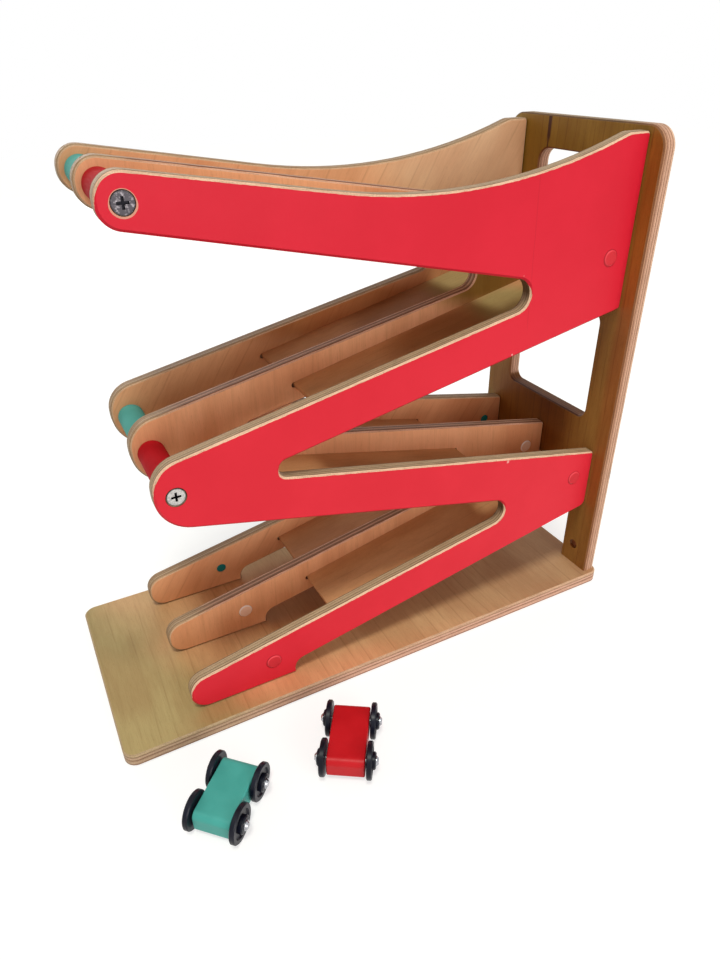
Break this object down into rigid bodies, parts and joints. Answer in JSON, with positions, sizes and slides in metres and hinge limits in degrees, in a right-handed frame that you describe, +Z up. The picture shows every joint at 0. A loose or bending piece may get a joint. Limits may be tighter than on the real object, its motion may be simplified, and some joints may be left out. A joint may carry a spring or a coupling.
{
  "type": "toy car ramp",
  "caption": "Wooden zigzag ramp with parallel lanes between tall rails on a base board, with an end panel and small rolling toy cars.",
  "frame": {"origin": "the middle of the base board's underside, on the ground", "axes": "+Z up, +X along the ramp towards the end panel, +Y across the lanes towards the teal side"},
  "size_m": [0.3684, 0.227, 0.324],
  "materials": {
    "birch_ply": "satin",
    "plain_wood": "satin",
    "red_painted_ply": "satin",
    "teal_painted_ply": "satin",
    "red_painted_wood": "satin",
    "teal_painted_wood": "satin",
    "navy_plastic": "gloss",
    "zinc_steel": "satin",
    "bright_steel": "gloss"
  },
  "bodies": {
    "ramp": {"base_board": "birch_ply", "end_panel": "birch_ply", "front_rail": "red_painted_ply", "middle_rail": "birch_ply", "back_rail": "teal_painted_ply", "ramp_floor_1_front_lane": "birch_ply", "ramp_floor_1_back_lane": "birch_ply", "ramp_floor_2_front_lane": "birch_ply", "ramp_floor_2_back_lane": "birch_ply", "ramp_floor_3_front_lane": "birch_ply", "ramp_floor_3_back_lane": "birch_ply", "ramp_floor_4_front_lane": "birch_ply", "ramp_floor_4_back_lane": "birch_ply", "upper_front_dowel": "red_painted_wood", "upper_back_dowel": "teal_painted_wood", "lower_front_dowel": "red_painted_wood", "lower_back_dowel": "teal_painted_wood", "tip_bolts": "zinc_steel", "tip_sleeve_nuts": "zinc_steel", "panel_bolts": "zinc_steel", "rail_barrel_nuts": "zinc_steel", "foot_bolts": "zinc_steel", "leg_bolts": "zinc_steel", "leg_barrel_nuts": "zinc_steel", "red_plugs": "red_painted_wood", "natural_plugs": "plain_wood", "teal_plugs": "teal_painted_wood", "teal_inner_plugs": "teal_painted_wood"},
    "teal_car": {"teal_car_body": "teal_painted_wood"},
    "teal_front_wheels": {"teal_front_axle": "zinc_steel", "teal_front_wheel_left": "navy_plastic", "teal_front_wheel_right": "navy_plastic", "teal_front_axle_caps": "bright_steel"},
    "teal_rear_wheels": {"teal_rear_axle": "zinc_steel", "teal_rear_wheel_left": "navy_plastic", "teal_rear_wheel_right": "navy_plastic", "teal_rear_axle_caps": "bright_steel"},
    "red_car": {"red_car_body": "red_painted_wood"},
    "red_front_wheels": {"red_front_axle": "zinc_steel", "red_front_wheel_left": "navy_plastic", "red_front_wheel_right": "navy_plastic", "red_front_axle_caps": "bright_steel"},
    "red_rear_wheels": {"red_rear_axle": "zinc_steel", "red_rear_wheel_left": "navy_plastic", "red_rear_wheel_right": "navy_plastic", "red_rear_axle_caps": "bright_steel"}
  },
  "joints": [
    {"name": "teal_car_roll", "type": "slide", "parent": "ramp", "child": "teal_car", "axis": [-0.7046, -0.7096, 0], "range_m": [-0.02, 0.06]},
    {"name": "teal_front_wheels_spin", "type": "hinge", "parent": "teal_car", "child": "teal_front_wheels", "pos_m": [-0.14752, -0.13493, 0.0109], "axis": [0.7096, -0.7046, 0], "continuous": true},
    {"name": "teal_rear_wheels_spin", "type": "hinge", "parent": "teal_car", "child": "teal_rear_wheels", "pos_m": [-0.12898, -0.11627, 0.0109], "axis": [0.7096, -0.7046, 0], "continuous": true},
    {"name": "red_car_roll", "type": "slide", "parent": "ramp", "child": "red_car", "axis": [-0.5432, -0.8396, 0], "range_m": [-0.02, 0.06]},
    {"name": "red_front_wheels_spin", "type": "hinge", "parent": "red_car", "child": "red_front_wheels", "pos_m": [-0.06946, -0.13572, 0.0109], "axis": [0.8396, -0.5432, 0], "continuous": true},
    {"name": "red_rear_wheels_spin", "type": "hinge", "parent": "red_car", "child": "red_rear_wheels", "pos_m": [-0.05404, -0.11188, 0.0109], "axis": [0.8396, -0.5432, 0], "continuous": true}
  ],
  "couplings": [
    {"joint": "teal_front_wheels_spin", "follows": "teal_car_roll", "rad_per_m": 91.743},
    {"joint": "teal_rear_wheels_spin", "follows": "teal_car_roll", "rad_per_m": 91.743},
    {"joint": "red_front_wheels_spin", "follows": "red_car_roll", "rad_per_m": 91.743},
    {"joint": "red_rear_wheels_spin", "follows": "red_car_roll", "rad_per_m": 91.743}
  ]
}
